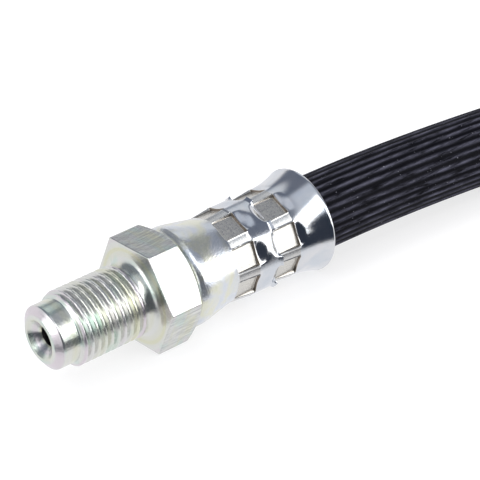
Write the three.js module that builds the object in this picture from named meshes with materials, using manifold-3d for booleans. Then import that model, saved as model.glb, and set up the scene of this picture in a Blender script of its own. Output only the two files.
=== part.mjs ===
// Hydraulic brake hose: a rubber hose with a steel fitting crimped on each end.
// Millimetres. +X runs from the male tip to the female port, +Z is up and z = 0 is the
// surface that the hose lies on, under the middle of its two fittings.
import * as THREE from 'three';
import { mergeVertices } from 'three/addons/utils/BufferGeometryUtils.js';
import Module from 'manifold-3d';

const wasm = await Module();
wasm.setup();

// Clearances
const seatGap = 0.3;
const surfaceGap = 0.05;

// Hexagon for the spanner, the same size on both fittings
const hexAcrossFlats = 14;
const hexThickness = 5.25;
const hexChamferAngle = THREE.MathUtils.degToRad(30);

// Male end: a thread of 10 mm by 1 mm pitch, cut to its outer diameter here
const threadDiameter = 10;
const threadLead = 0.6;
const shankLength = 11.5;
const reliefDiameter = 9;
const coveRadius = 1.4;
const noseDiameter = 8.6;
const noseLength = 3.1;
const noseChamferLength = 0.75;
const rimDiameter = 6.4;
const seatDiameter = 5.3;
const seatAngle = THREE.MathUtils.degToRad(90);

// Female end: a round barrel with a groove for a spring clip and a tapped port
const rearHexThickness = 7;
const barrelDiameter = 13;
const barrelLength = 6.5;
const barrelChamfer = 0.5;
const clipGrooveWidth = 2;
const clipGrooveDepth = 0.9;
const clipGrooveInset = 2.4;
const portDiameter = 9;
const portDepth = 11;
const portChamfer = 0.6;
const drillPointAngle = THREE.MathUtils.degToRad(118);

// Stem that the hose is pushed over, and the collar that the ferrule's lip sits behind
const boreDiameter = 2.6;
const neckDiameter = 8;
const collarLength = 2;
const stemDiameter = 3.6;
const stemOverrun = 0.8;
const barbHeight = 0.22;
const barbCount = 3;

// Drawn ferrule, crimped by two rows of square jaws
const ferruleWall = 1;
const lipThickness = 1.2;
const domeDiameter = 13.8;
const domeLength = 6.8;
const ringDiameter = 12.6;
const ridgeFootDiameter = 11.9;
const ridgeDiameter = 12.5;
const dentLength = 3.1;
const dentFlatRadius = 5.6;
const dentHalfAngle = THREE.MathUtils.degToRad(15.2);
const dentWall = 0.3;
const dentsPerRow = 8;
const firstDentAngle = THREE.MathUtils.degToRad(26.5);
const ringLength = 3.75;
const pillowDepth = 0.15;
const bellDiameter = 14.4;
const bellLength = 5.35;
const bellLip = 0.7;
const domeRounding = 0.9;
const domeEase = 1.5;
const waistRise = 0.05;

// Hose, with the free length between the two ferrules and how far aside its far end lies
const hoseDiameter = 10.5;
const hoseBoreDiameter = 3.2;
const freeSpan = 266;
const sideShift = 40;
const straightLead = 3;
const hoseSides = 12;
const hoseStepLength = 2.4 * hoseDiameter;

// Facets round a turned piece
const turnedFacets = 36;
const facetsPerDent = 6;

// Route of the hose from one ferrule's mouth to the other's, in shares: of the free length,
// of the sideways shift, and of the way up from lying on the surface to the fittings' axis
const routeShares = [
  [0, 0, 1],
  [0.038, 0.007, 0.97],
  [0.075, 0.022, 0.88],
  [0.113, 0.044, 0.72],
  [0.158, 0.078, 0.46],
  [0.211, 0.128, 0.19],
  [0.271, 0.198, 0.04],
  [0.338, 0.283, 0],
  [0.421, 0.395, 0],
  [0.504, 0.515, 0],
  [0.586, 0.635, 0],
  [0.662, 0.74, 0],
  [0.729, 0.825, 0.04],
  [0.789, 0.89, 0.19],
  [0.842, 0.938, 0.46],
  [0.887, 0.97, 0.72],
  [0.925, 0.988, 0.88],
  [0.962, 0.998, 0.97],
  [1, 1, 1],
];

// Places along a fitting, from the back of its hexagon towards the hose
const ferruleFront = seatGap;
const lipBack = ferruleFront + lipThickness;
const collarFront = lipBack + seatGap;
const collarBack = collarFront + collarLength;
const hoseEnd = collarBack + seatGap;
const firstRowStart = ferruleFront + domeLength;
const firstRowEnd = firstRowStart + dentLength;
const secondRowStart = firstRowEnd + ringLength;
const secondRowEnd = secondRowStart + dentLength;
const ferruleMouth = secondRowEnd + bellLength;
const stemEnd = secondRowEnd + stemOverrun;

// Places along each fitting on the other side of the hexagon
const hexFront = -hexThickness;
const noseShoulder = hexFront - shankLength;
const maleTip = noseShoulder - noseLength;
const barrelShoulder = -rearHexThickness;
const femaleTip = barrelShoulder - barrelLength;

// Radii that follow from the sizes above
const boreRadius = boreDiameter / 2;
const hexCornerRadius = hexAcrossFlats / 2 / Math.cos(Math.PI / 6);
const ringRadius = ringDiameter / 2;
const ridgeFootRadius = ridgeFootDiameter / 2;
const ridgeRadius = ridgeDiameter / 2;
const domeRadius = domeDiameter / 2;
const bellRadius = bellDiameter / 2;
const hoseRadius = hoseDiameter / 2;
const lipHoleRadius = neckDiameter / 2 + seatGap;
const collarRadius = domeRadius - ferruleWall - 2 * seatGap;
const stemRadius = stemDiameter / 2;
const squeezedRadius = dentFlatRadius - ferruleWall - seatGap;
const bulgeRadius = ringRadius - pillowDepth - ferruleWall - seatGap;
const squeezedBoreRadius = stemRadius + barbHeight + seatGap;

// The two fittings stand on the wider of the bell and the hexagon's flats
const axisHeight = Math.max(bellDiameter, hexAcrossFlats) / 2;
const overallLength = -maleTip + 2 * ferruleMouth + freeSpan - femaleTip;
const frontPlace = new THREE.Vector3(-overallLength / 2 - maleTip, sideShift / 2, axisHeight);
const rearPlace = new THREE.Vector3(overallLength / 2 + femaleTip, -sideShift / 2, axisHeight);

// A merged, closed geometry becomes a solid that can be cut and joined
function solidOf(geometry) {
  geometry.deleteAttribute('normal');
  geometry.deleteAttribute('uv');
  const merged = mergeVertices(geometry, 1e-5);
  const corners = [];
  for (let i = 0; i < merged.index.count; i += 3) {
    const [a, b, c] = [0, 1, 2].map((k) => merged.index.getX(i + k));
    if (a !== b && b !== c && c !== a) {
      corners.push(a, b, c);
    }
  }
  return new wasm.Manifold(new wasm.Mesh({
    numProp: 3,
    vertProperties: new Float32Array(merged.attributes.position.array),
    triVerts: new Uint32Array(corners),
  }));
}

function geometryOf(solid) {
  const mesh = solid.getMesh();
  const geometry = new THREE.BufferGeometry();
  geometry.setAttribute('position', new THREE.BufferAttribute(mesh.vertProperties, 3));
  geometry.setIndex(new THREE.BufferAttribute(mesh.triVerts, 1));
  geometry.computeVertexNormals();
  return geometry;
}

// Turns an outline, drawn as distance along the axis and radius, about the X axis.
// Angle zero is at the top, and angles grow towards -Y.
function turned(outline, facets = turnedFacets, startAngle = 0, curveSteps = 5) {
  const points = outline.getPoints(curveSteps).map((p) => new THREE.Vector2(p.y, p.x));
  if (points[0].x > 0 && !points[0].equals(points[points.length - 1])) {
    points.push(points[0].clone());
  }
  if (THREE.ShapeUtils.area(points) < 0) {
    points.reverse();
  }
  const geometry = new THREE.LatheGeometry(points, facets, startAngle, 2 * Math.PI);
  geometry.rotateZ(-Math.PI / 2);
  return geometry;
}

// A disc section whose rim is cut back at both ends by the hexagon's chamfer angle
function chamferedBlank(front, back, frontChamfered) {
  const cornerRadius = hexCornerRadius + seatGap;
  const run = (cornerRadius - hexAcrossFlats / 2) * Math.tan(hexChamferAngle);
  const outline = new THREE.Path();
  outline.moveTo(front, 0);
  outline.lineTo(front, frontChamfered ? hexAcrossFlats / 2 : cornerRadius);
  outline.lineTo(frontChamfered ? front + run : front, cornerRadius);
  outline.lineTo(back - run, cornerRadius);
  outline.lineTo(back, hexAcrossFlats / 2);
  outline.lineTo(back, 0);
  return solidOf(turned(outline));
}

// Hexagon bar from front to the back plane at zero, two flats level and its corners eased
function hexagon(thickness, frontChamfered) {
  const shape = new THREE.Shape();
  for (let corner = 0; corner < 6; corner += 1) {
    const angle = Math.PI / 2 + corner * Math.PI / 3;
    const point = [hexCornerRadius * Math.cos(angle), hexCornerRadius * Math.sin(angle)];
    if (corner === 0) {
      shape.moveTo(...point);
    } else {
      shape.lineTo(...point);
    }
  }
  shape.closePath();
  const bar = new THREE.ExtrudeGeometry(shape, { depth: thickness, bevelEnabled: false });
  bar.rotateY(Math.PI / 2);
  bar.translate(-thickness, 0, 0);
  return solidOf(bar).intersect(chamferedBlank(-thickness, 0, frontChamfered));
}

// Neck, collar and barbed stem, drawn on from inside the hexagon to the middle of its end
function drawStem(outline, coreFront, coreRadius) {
  const neckStart = coreFront / 2;
  outline.lineTo(neckStart, coreRadius);
  outline.lineTo(neckStart, neckDiameter / 2);
  outline.lineTo(collarFront, neckDiameter / 2);
  outline.lineTo(collarFront, collarRadius);
  outline.lineTo(collarBack, collarRadius);
  outline.lineTo(collarBack, stemRadius);
  const barbPitch = (stemEnd - firstRowStart) / barbCount;
  for (let barb = 0; barb < barbCount; barb += 1) {
    const start = firstRowStart + barb * barbPitch;
    outline.lineTo(start, stemRadius);
    outline.lineTo(start, stemRadius + barbHeight);
    outline.lineTo(start + barbPitch * 0.8, stemRadius);
  }
  outline.lineTo(stemEnd, stemRadius - barbHeight);
  outline.lineTo(stemEnd, 0);
}

// A fitting is turned from hexagon bar, then drilled: the mouth first, the small bore after
function drilled(blank, mouth) {
  const cut = new THREE.Path();
  cut.moveTo(mouth[0][0], 0);
  mouth.forEach(([x, radius]) => cut.lineTo(x, radius));
  cut.lineTo(stemEnd + seatGap, boreRadius);
  cut.lineTo(stemEnd + seatGap, 0);
  return geometryOf(blank.subtract(solidOf(turned(cut))));
}

function maleUnion() {
  const seatSlope = Math.tan(seatAngle / 2);
  const seatDepth = (seatDiameter / 2 - boreRadius) / seatSlope;
  const reliefRadius = reliefDiameter / 2;
  const coveStart = hexFront - coveRadius;
  const threadEnd = coveStart - (threadDiameter / 2 - reliefRadius);
  const outline = new THREE.Path();
  outline.moveTo(maleTip, 0);
  outline.lineTo(maleTip, rimDiameter / 2);
  outline.lineTo(maleTip + noseChamferLength, noseDiameter / 2);
  outline.lineTo(noseShoulder, noseDiameter / 2);
  outline.lineTo(noseShoulder + threadLead, threadDiameter / 2);
  outline.lineTo(threadEnd, threadDiameter / 2);
  outline.lineTo(coveStart, reliefRadius);
  outline.absarc(coveStart, reliefRadius + coveRadius, coveRadius, -Math.PI / 2, 0, false);
  drawStem(outline, hexFront, reliefRadius + coveRadius);
  return drilled(solidOf(turned(outline)).add(hexagon(hexThickness, false)), [
    [maleTip - seatGap, seatDiameter / 2 + seatGap * seatSlope],
    [maleTip + seatDepth, boreRadius],
  ]);
}

function femaleUnion() {
  const portRadius = portDiameter / 2;
  const portBottom = femaleTip + portDepth;
  const drillPoint = (portRadius - boreRadius) / Math.tan(drillPointAngle / 2);
  const grooveEnd = barrelShoulder - clipGrooveInset;
  const grooveStart = grooveEnd - clipGrooveWidth;
  const barrelRadius = barrelDiameter / 2;
  const grooveRadius = barrelRadius - clipGrooveDepth;
  const outline = new THREE.Path();
  outline.moveTo(femaleTip, 0);
  outline.lineTo(femaleTip, barrelRadius - barrelChamfer);
  outline.lineTo(femaleTip + barrelChamfer, barrelRadius);
  outline.lineTo(grooveStart, barrelRadius);
  outline.lineTo(grooveStart, grooveRadius);
  outline.lineTo(grooveEnd, grooveRadius);
  outline.lineTo(grooveEnd, barrelRadius);
  drawStem(outline, barrelShoulder, barrelRadius);
  return drilled(solidOf(turned(outline)).add(hexagon(rearHexThickness, true)), [
    [femaleTip - seatGap, portRadius + portChamfer + seatGap],
    [femaleTip + portChamfer, portRadius],
    [portBottom, portRadius],
    [portBottom + drillPoint, boreRadius],
  ]);
}

// The ferrule as drawn, before the crimping jaws close on it
function ferruleOutline() {
  const domeTop = ferruleFront + 0.45 * domeLength;
  const waist = ridgeFootRadius + waistRise;
  const innerDome = domeRadius - ferruleWall;
  const innerFoot = ridgeFootRadius - ferruleWall;
  const innerRidge = ridgeRadius - ferruleWall;
  const innerRing = ringRadius - ferruleWall;
  const rowsFromMouth = [secondRowStart, firstRowStart];
  const ringStations = [1, 2, 3].map((k) => firstRowEnd + k * ringLength / 4);
  const outline = new THREE.Path();
  outline.moveTo(ferruleFront, lipHoleRadius);
  outline.lineTo(ferruleFront, domeRadius - domeRounding);
  outline.bezierCurveTo(
    ferruleFront + domeRounding / 4, domeRadius - domeRounding / 3,
    domeTop - domeEase, domeRadius, domeTop, domeRadius);
  outline.bezierCurveTo(
    domeTop + domeEase, domeRadius, firstRowStart - 0.8 * domeEase, waist + domeRounding / 3,
    firstRowStart, waist);
  outline.lineTo(firstRowStart + dentWall, ridgeFootRadius);
  outline.lineTo(firstRowEnd - dentWall, ridgeRadius);
  outline.lineTo(firstRowEnd, ringRadius);
  ringStations.forEach((station) => outline.lineTo(station, ringRadius));
  outline.lineTo(secondRowStart, ringRadius);
  outline.lineTo(secondRowStart + dentWall, ridgeFootRadius);
  outline.lineTo(secondRowEnd - dentWall, ridgeRadius);
  outline.lineTo(secondRowEnd, ringRadius);
  outline.bezierCurveTo(
    secondRowEnd + 0.4 * bellLength, ringRadius, ferruleMouth - 0.4 * bellLength, bellRadius,
    ferruleMouth - bellLip / 2, bellRadius);
  outline.lineTo(ferruleMouth, bellRadius - bellLip / 2);
  outline.lineTo(ferruleMouth - bellLip / 4, bellRadius - bellLip);
  outline.lineTo(secondRowEnd + 0.35 * bellLength, hoseRadius + seatGap);
  for (const rowStart of rowsFromMouth) {
    outline.lineTo(rowStart + dentLength, innerRing);
    outline.lineTo(rowStart + dentLength - dentWall, innerRidge);
    outline.lineTo(rowStart + dentWall, innerFoot);
    outline.lineTo(rowStart, innerRing);
  }
  outline.lineTo(domeTop + domeEase, innerDome);
  outline.lineTo(lipBack, innerDome);
  outline.lineTo(lipBack, lipHoleRadius);
  outline.lineTo(ferruleFront, lipHoleRadius);
  return outline;
}

// Presses the two rows of dents into the drawn ferrule. Each jaw leaves a flat that no
// point of the wall stands above, ridges that rise towards the hose stay between
// neighbouring jaws, and the ring between the rows pulls in a little in line with the dents.
function pressFerrule(geometry) {
  const pitch = 2 * Math.PI / dentsPerRow;
  const drawnHalfAngle = pitch / 2 - pitch / facetsPerDent;
  const position = geometry.attributes.position;
  const rowStarts = [firstRowStart, secondRowStart];
  for (let i = 0; i < position.count; i += 1) {
    const along = position.getX(i);
    const radius = Math.hypot(position.getY(i), position.getZ(i));
    const angle = Math.atan2(-position.getY(i), position.getZ(i));
    const dent = Math.round((angle - firstDentAngle) / pitch);
    const offset = angle - firstDentAngle - dent * pitch;
    const share = Math.min(Math.abs(offset) / drawnHalfAngle, 1);
    const past = Math.max(Math.abs(offset) - drawnHalfAngle, 0) / (pitch / 2 - drawnHalfAngle);
    const side = share * dentHalfAngle + past * (pitch / 2 - dentHalfAngle);
    const inner = radius < ridgeFootRadius - ferruleWall / 2;
    const inRow = rowStarts.some(
      (start) => along > start + dentWall / 2 && along < start + dentLength - dentWall / 2);
    const ringShare = THREE.MathUtils.clamp((along - firstRowEnd) / ringLength, 0, 1);
    let pressed = radius;
    if (inRow && past < 0.5) {
      const flat = inner ? dentFlatRadius - ferruleWall : dentFlatRadius;
      pressed = Math.min(radius, flat / Math.cos(side));
    } else {
      const acrossPillow = Math.cos(Math.PI * side / pitch) ** 2;
      pressed -= pillowDepth * acrossPillow * Math.sin(Math.PI * ringShare) ** 2;
    }
    const place = firstDentAngle + dent * pitch + Math.sign(offset) * side;
    position.setXYZ(i, along, -pressed * Math.sin(place), pressed * Math.cos(place));
  }
  return geometry;
}

function ferrule() {
  const facets = dentsPerRow * facetsPerDent;
  const drawn = turned(ferruleOutline(), facets, firstDentAngle, 4);
  return geometryOf(solidOf(pressFerrule(drawn)));
}

// The end of the hose inside a ferrule, squeezed under both rows of dents
function squeezedEnd() {
  const outline = new THREE.Path();
  const freeStart = secondRowEnd + 0.55 * bellLength;
  outline.moveTo(hoseEnd, 0);
  outline.lineTo(hoseEnd, collarRadius - seatGap);
  outline.lineTo(hoseEnd + 0.3 * (firstRowStart - hoseEnd), collarRadius - seatGap);
  outline.lineTo(firstRowStart, squeezedRadius);
  outline.lineTo(firstRowEnd, squeezedRadius);
  outline.lineTo(firstRowEnd + ringLength / 3, bulgeRadius);
  outline.lineTo(secondRowStart - ringLength / 3, bulgeRadius);
  outline.lineTo(secondRowStart, squeezedRadius);
  outline.lineTo(secondRowEnd, squeezedRadius);
  outline.lineTo(freeStart, hoseRadius);
  outline.lineTo(ferruleMouth, hoseRadius);
  outline.lineTo(ferruleMouth, 0);
  return turned(outline, hoseSides);
}

// The widened bore that the stem fills, with the hose's own bore going on from it
function stemPocket() {
  const outline = new THREE.Path();
  outline.moveTo(hoseEnd - seatGap, 0);
  outline.lineTo(hoseEnd - seatGap, squeezedBoreRadius);
  outline.lineTo(stemEnd + seatGap, squeezedBoreRadius);
  outline.lineTo(ferruleMouth - bellLip, hoseBoreDiameter / 2);
  outline.lineTo(ferruleMouth + bellLip, 0);
  return turned(outline, hoseSides);
}

function routeCurve() {
  const lyingHeight = hoseRadius + surfaceGap;
  const mouth = new THREE.Vector3(frontPlace.x + ferruleMouth, frontPlace.y, 0);
  const points = routeShares.map(([along, shift, lift]) => new THREE.Vector3(
    mouth.x + along * freeSpan,
    mouth.y - shift * sideShift,
    THREE.MathUtils.lerp(lyingHeight, axisHeight, lift),
  ));
  const lead = new THREE.Vector3(straightLead, 0, 0);
  const first = points[0].clone().sub(lead);
  const last = points[points.length - 1].clone().add(lead);
  return new THREE.CatmullRomCurve3([first, ...points, last]);
}

function roundTube(radius, curve) {
  const section = new THREE.Shape();
  for (let side = 0; side <= hoseSides; side += 1) {
    const angle = 2 * Math.PI * side / hoseSides;
    const point = [radius * Math.cos(angle), radius * Math.sin(angle)];
    if (side === 0) {
      section.moveTo(...point);
    } else {
      section.lineTo(...point);
    }
  }
  const steps = Math.round(curve.getLength() / hoseStepLength);
  return new THREE.ExtrudeGeometry(section, { extrudePath: curve, steps, bevelEnabled: false });
}

const frontMatrix = new THREE.Matrix4().setPosition(frontPlace);
const rearMatrix = new THREE.Matrix4().makeRotationZ(Math.PI).setPosition(rearPlace);

function hose() {
  const curve = routeCurve();
  let body = solidOf(roundTube(hoseRadius, curve));
  let bore = solidOf(roundTube(hoseBoreDiameter / 2, curve));
  for (const matrix of [frontMatrix, rearMatrix]) {
    body = body.add(solidOf(squeezedEnd().applyMatrix4(matrix)));
    bore = bore.add(solidOf(stemPocket().applyMatrix4(matrix)));
  }
  return geometryOf(body.subtract(bore));
}

const plated = new THREE.MeshStandardMaterial({ color: 0xc6c8bf, roughness: 0.32, metalness: 1 });
const bright = new THREE.MeshStandardMaterial({ color: 0xbfc3c9, roughness: 0.22, metalness: 1 });
const rubber = new THREE.MeshStandardMaterial({ color: 0x17181d, roughness: 0.55, metalness: 0 });

function piece(name, geometry, material) {
  const mesh = new THREE.Mesh(geometry, material);
  mesh.name = name;
  return mesh;
}

const frontFitting = new THREE.Group();
frontFitting.applyMatrix4(frontMatrix);
frontFitting.add(piece('male_union', maleUnion(), plated));
frontFitting.add(piece('front_ferrule', ferrule(), bright));

const rearFitting = new THREE.Group();
rearFitting.applyMatrix4(rearMatrix);
rearFitting.add(piece('female_union', femaleUnion(), plated));
rearFitting.add(piece('rear_ferrule', ferrule(), bright));

const brakeHose = new THREE.Group();
brakeHose.add(frontFitting, piece('hose', hose(), rubber), rearFitting);

export default brakeHose;
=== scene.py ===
"""Looks of a hydraulic brake hose: two zinc plated fittings crimped on a ribbed rubber hose.

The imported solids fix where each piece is. Every piece here stands for one of them, in the same
place, with its thread, dents, ribs and surface finish. Lengths in the classes are millimetres.
"""

import logging
from collections.abc import Callable
from dataclasses import dataclass
from enum import Enum
from functools import partial
from math import atan2, copysign, cos, exp, hypot, pi, radians, sin, sqrt, tan

import bmesh
import bpy
from bpy.types import ID, Material, Node, NodeSocket, NodeTree, Object
from mathutils import Matrix, Vector, noise
from mathutils.kdtree import KDTree


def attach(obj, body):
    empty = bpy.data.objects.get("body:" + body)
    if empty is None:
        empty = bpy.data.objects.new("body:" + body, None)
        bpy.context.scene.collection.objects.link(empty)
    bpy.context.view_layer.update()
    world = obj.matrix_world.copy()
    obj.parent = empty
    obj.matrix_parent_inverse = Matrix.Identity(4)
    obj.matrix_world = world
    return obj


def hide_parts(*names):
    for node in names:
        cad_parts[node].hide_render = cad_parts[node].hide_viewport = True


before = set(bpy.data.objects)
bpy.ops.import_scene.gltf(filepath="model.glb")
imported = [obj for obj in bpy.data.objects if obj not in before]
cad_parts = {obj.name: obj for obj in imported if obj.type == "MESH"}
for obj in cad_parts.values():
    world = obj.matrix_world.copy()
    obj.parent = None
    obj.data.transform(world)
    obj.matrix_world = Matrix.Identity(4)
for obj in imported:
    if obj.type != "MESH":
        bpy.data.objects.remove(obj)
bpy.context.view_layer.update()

Pair = tuple[float, float]
Triple = tuple[float, float, float]
MM = 0.001
WHITE = "#ffffff"
# Inputs of the two kinds of node that come in tables.
NOISE = ("Vector", "Scale", "Detail", "Roughness", "Distortion")
RANGE = ("Value", 1, 2, 3, 4)
# Stands in an outline for the hexagon's side, whose real radius changes with the angle.
GUIDE = 8.0
log = logging.getLogger("brake_hose")


class Slot(Enum):
    """Material slots of the record."""

    PLATED = "plated_steel"
    FERRULE = "ferrule_steel"
    RUBBER = "hose_rubber"


class Zone(Enum):
    """What is done to a ring of a turned piece after it is spun."""

    ROUND = "round"
    THREAD = "thread"
    BAR = "bar"
    BAR_EDGE = "bar edge"
    BAR_CHAMFER = "bar chamfer"
    SHELL = "shell"
    LINING = "lining"


def linear(code: str) -> tuple[float, float, float, float]:
    """Turns an sRGB hex colour to the linear colour that a shader takes.

    Args:
        code: six hex digits after a hash sign.

    Returns:
        Red, green, blue and full alpha.
    """
    parts = [int(code[i : i + 2], 16) / 255 for i in (1, 3, 5)]
    return (*(c / 12.92 if c <= 0.04045 else ((c + 0.055) / 1.055) ** 2.4 for c in parts), 1.0)


def plug(tree: NodeTree, node: Node, inputs: dict) -> None:
    """Sets what goes into a node.

    Args:
        tree: the node's tree.
        node: the node.
        inputs: input names or numbers, each with a value or with the socket linked to it.
    """
    for name, value in inputs.items():
        if isinstance(value, NodeSocket):
            tree.links.new(value, node.inputs[name])
        else:
            node.inputs[name].default_value = value


def add_node(
    tree: NodeTree, kind: str, inputs: dict | None = None, **settings
) -> bpy.types.bpy_prop_collection:
    """Adds a node, with its settings and what goes into it.

    Args:
        tree: the node tree it goes in.
        kind: the node's type, without its first word ShaderNode.
        inputs: what goes into it, as in plug.
        **settings: properties of the node.

    Returns:
        The new node's outputs.
    """
    node = tree.nodes.new("ShaderNode" + kind)
    for name, value in settings.items():
        setattr(node, name, value)
    plug(tree, node, inputs or {})
    return node.outputs


def add_row(tree: NodeTree, kind: str, names: tuple, rows: tuple, **settings) -> list[NodeSocket]:
    """Adds nodes that differ only in what goes into them.

    Args:
        tree: the node tree they go in.
        kind: their type.
        names: input names or numbers.
        rows: for each node, what goes into those inputs, in that order.
        **settings: properties that they share.

    Returns:
        Their first outputs.
    """
    return [add_node(tree, kind, dict(zip(names, row)), **settings)[0] for row in rows]


def smooth(low: float, high: float, value: float) -> float:
    """A soft step from 0 at low to 1 at high."""
    t = min(max((value - low) / (high - low), 0.0), 1.0)
    return t * t * (3 - 2 * t)


def span(start: float, end: float, rise: float, fall: float, value: float) -> float:
    """A soft span: 1 from start to end, with a rise before it and a fall after it."""
    return smooth(start - rise, start, value) * (1 - smooth(end, end + fall, value))


def mix(a: float, b: float, share: float) -> float:
    """The value that lies that share of the way from a to b."""
    return a + (b - a) * share


def layered(tree: NodeTree, base: str, layers: tuple) -> NodeSocket:
    """Lays colours over a base, each by its own share.

    Args:
        tree: the node tree they go in.
        base: the hex colour at the bottom.
        layers: pairs of a share's socket and a hex colour or a colour's socket.

    Returns:
        The socket of the colour on top.
    """
    colour = linear(base)
    for share, over in layers:
        top = linear(over) if isinstance(over, str) else over
        colour = add_node(tree, "Mix", {0: share, 6: colour, 7: top}, data_type="RGBA")[2]
    return colour


def direction(azimuth: float, elevation: float) -> Vector:
    """The way to a point that far round from the front and that high, both in radians."""
    flat = cos(elevation)
    return Vector((sin(azimuth) * flat, -cos(azimuth) * flat, sin(elevation)))


def shown(name: str, data: ID) -> Object:
    """Adds an object with that data to the scene."""
    made = bpy.data.objects.new(name, data)
    bpy.context.scene.collection.objects.link(made)
    return made


def placed(
    bm: bmesh.types.BMesh, name: str, matrix: Matrix, sharp_angle: float, finish: "Finish"
) -> Object:
    """Makes a finished mesh an object, at the origin.

    Args:
        bm: the mesh, which is freed.
        name: the object's name.
        matrix: the mesh's own millimetres to the row frame's metres.
        sharp_angle: the angle in radians from which an edge is sharp.
        finish: what its surface is made of.

    Returns:
        The object.
    """
    bmesh.ops.recalc_face_normals(bm, faces=bm.faces)
    bmesh.ops.transform(bm, matrix=matrix, verts=bm.verts)
    for face in bm.faces:
        face.smooth = True
    mesh = bpy.data.meshes.new(name)
    bm.to_mesh(mesh)
    bm.free()
    mesh.set_sharp_from_angle(angle=sharp_angle)
    mesh.materials.append(finish.material())
    return shown(name, mesh)


@dataclass(frozen=True)
class FittingPlace:
    """Where a fitting stands: its hexagon's back plane on its axis, and which way it points."""

    origin: Triple
    turned_round: bool = False

    def matrix(self) -> Matrix:
        """The fitting's own millimetres to the row frame's metres."""
        turn = Matrix.Rotation(pi if self.turned_round else 0.0, 4, "Z")
        return Matrix.Scale(MM, 4) @ Matrix.Translation(self.origin) @ turn


FRONT = FittingPlace((-152.225, 20.0, 7.2))
REAR = FittingPlace((158.575, -20.0, 7.2), turned_round=True)

# One end of a hexagon, from its face: distance in, distance under the side, and zone.
BarEnd = tuple[tuple[float, float, Zone], ...]


@dataclass(frozen=True)
class Finish:
    """What a surface is made of. Its patterns lie in millimetres from the origin."""

    name: str
    origin: Triple = (0.0, 0.0, 0.0)

    def begin(self) -> tuple[Material, Node, NodeSocket]:
        """Adds a material with a plain shader.

        Returns:
            The material, its shader, and a point's place in millimetres from the origin.
        """
        made = bpy.data.materials.new(self.name)
        made.use_nodes = True
        where = add_node(made.node_tree, "TexCoord")["Object"]
        here = add_node(
            made.node_tree, "Mapping",
            {"Vector": where, "Scale": (1 / MM,) * 3, "Location": [-c for c in self.origin]},
        )[0]
        return made, made.node_tree.nodes["Principled BSDF"], here

    def material(self) -> Material:
        """Builds the finish.

        Returns:
            The material, on Object coordinates.
        """
        raise NotImplementedError


@dataclass(frozen=True)
class ZincPlatedBar(Finish):
    """Free-cutting steel bar, turned and then zinc plated with a clear passivation.

    It looks bright and slightly satin, with fine rings left by the lathe, faint lines along the
    hexagon's drawn flats, and pale green, pink and straw tints from the passivation's film. The
    rings are drawn twice as far apart as a real feed, which would be too fine to show.
    """

    base: str = "#dedfda"
    straw: str = "#dcdcc2"
    green: str = "#cbdcd3"
    rose: str = "#dcd2d9"
    # Painted shade: the small bore, inside bore_radius, is coloured this dark grey.
    inside: str = "#2c2c2e"
    bore_radius: float = 1.34
    haze: float = 0.06
    roughness: float = 0.2
    thread_haze: float = 0.1
    thread_roughness: float = 0.22
    thread_radius: float = 5.05
    thread_ends: tuple[Pair, ...] = ((-16.9, -16.5), (-7.0, -7.4))
    drawn_grey: str = "#a9abaa"
    drawn_shape: Triple = (0.35, 5.0, 5.0)
    drawn_scale: float = 1.3
    ring_spacing: float = 0.11
    mark_depth: float = 0.03 * MM
    tint_size: float = 3.4
    grain_size: float = 0.36
    grain_depth: float = 0.06 * MM
    grain_strength: float = 0.4
    thread_grain_strength: float = 0.06

    def material(self) -> Material:
        """Builds the finish. See Finish.material."""
        made, shader, here = self.begin()
        tree = made.node_tree
        add = partial(add_node, tree)
        axes = add("SeparateXYZ", {0: here})
        across = add("CombineXYZ", {1: axes[1], 2: axes[2]})[0]
        radius = add("VectorMath", {0: across}, operation="LENGTH")["Value"]
        lathe = add("CombineXYZ", {0: axes[0], 1: radius})[0]
        drawn = add("Mapping", {"Vector": here, "Scale": self.drawn_shape})[0]
        rings, lines, grain, film, banded = add_row(
            tree, "TexNoise", NOISE,
            (
                (lathe, 1 / self.ring_spacing, 2.0, 0.6),
                (drawn, self.drawn_scale, 4.0, 0.7),
                (here, 1 / self.grain_size, 4.0, 0.65),
                (here, 1 / self.tint_size, 1.0, 0.5, 0.4),
                (lathe, 2.2 / self.tint_size, 1.0, 0.5, 0.3),
            ),
        )
        # bore_shade marks the small bore, which is painted dark as shade.
        greened, rosy, straw, bore_shade, cut, begun, ended, spread, dull = add_row(
            tree, "MapRange", RANGE,
            (
                (film, 0.5, 0.66, 0.0, 0.8),
                (banded, 0.52, 0.68, 0.0, 0.8),
                (banded, 0.5, 0.34, 0.0, 0.85),
                (radius, self.bore_radius + 0.06, self.bore_radius),
                (radius, self.thread_radius + 0.2, self.thread_radius),
                *((axes[0], start, end) for start, end in self.thread_ends),
                (grain, 0.3, 0.7, 0.75, 1.3),
                (lines, 0.3, 0.62, 0.9, 0.0),
            ),
        )
        for share in (begun, ended):
            cut = add("Math", {0: cut, 1: share}, operation="MULTIPLY")[0]
        on_flat = add("Attribute", attribute_name="bar")["Fac"]
        streaks = add("Math", {0: dull, 1: on_flat}, operation="MULTIPLY")[0]
        colour = layered(
            tree, self.base,
            (
                (greened, self.green), (rosy, self.rose), (straw, self.straw),
                (bore_shade, self.inside), (streaks, self.drawn_grey),
            ),
        )
        marks, satin, clear, pits = add_row(
            tree, "Mix", (0, 2, 3),
            (
                (on_flat, rings, lines),
                (cut, self.roughness, self.thread_roughness),
                (cut, 1 - self.haze, 1 - self.thread_haze),
                (cut, self.grain_strength, self.thread_grain_strength),
            ),
            data_type="FLOAT",
        )
        rough = add("Math", {0: satin, 1: spread}, operation="MULTIPLY")[0]
        fine = add("Bump", {"Height": grain, "Strength": pits, "Distance": self.grain_depth})[0]
        bump = add(
            "Bump",
            {"Height": marks, "Strength": 0.3, "Distance": self.mark_depth, "Normal": fine},
        )[0]
        plug(tree, shader, {"Base Color": colour, "Roughness": rough, "Normal": bump, "Metallic": clear})
        return made


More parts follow.
